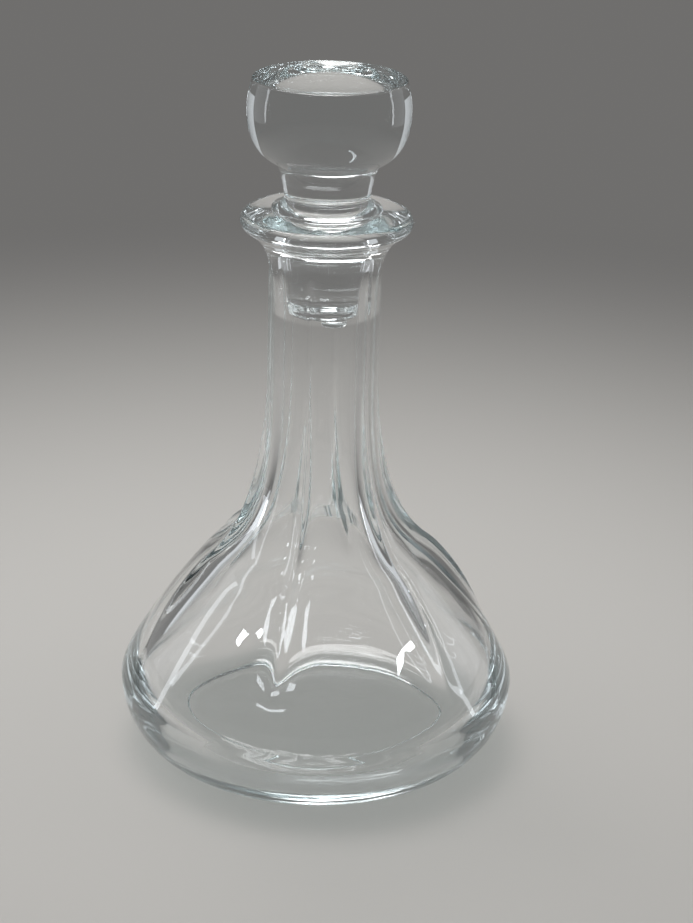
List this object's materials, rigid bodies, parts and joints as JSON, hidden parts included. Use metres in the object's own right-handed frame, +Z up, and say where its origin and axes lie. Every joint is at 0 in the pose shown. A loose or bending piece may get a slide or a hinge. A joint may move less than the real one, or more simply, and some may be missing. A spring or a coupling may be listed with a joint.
{
  "type": "decanter",
  "caption": "Clear glass decanter with a wide, low, ribbed body, a long neck with a flat lip, and a lift-out glass stopper with a dished knob.",
  "frame": {"origin": "on the bottle's axis, in the plane that the foot ring stands on", "axes": "+Z up the axis towards the stopper, -Y towards the front as pictured, +X to the right"},
  "size_m": [0.16, 0.1602, 0.275],
  "materials": {
    "bottle_glass": "polished, clear and colourless",
    "stopper_glass": "polished, clear and colourless"
  },
  "bodies": {
    "bottle": {"bottle": "bottle_glass"},
    "stopper": {"stopper": "stopper_glass"}
  },
  "joints": [
    {"name": "stopper_lift", "type": "slide", "parent": "bottle", "child": "stopper", "axis": [0, 0, 1], "range_m": [0, 0.06]}
  ]
}
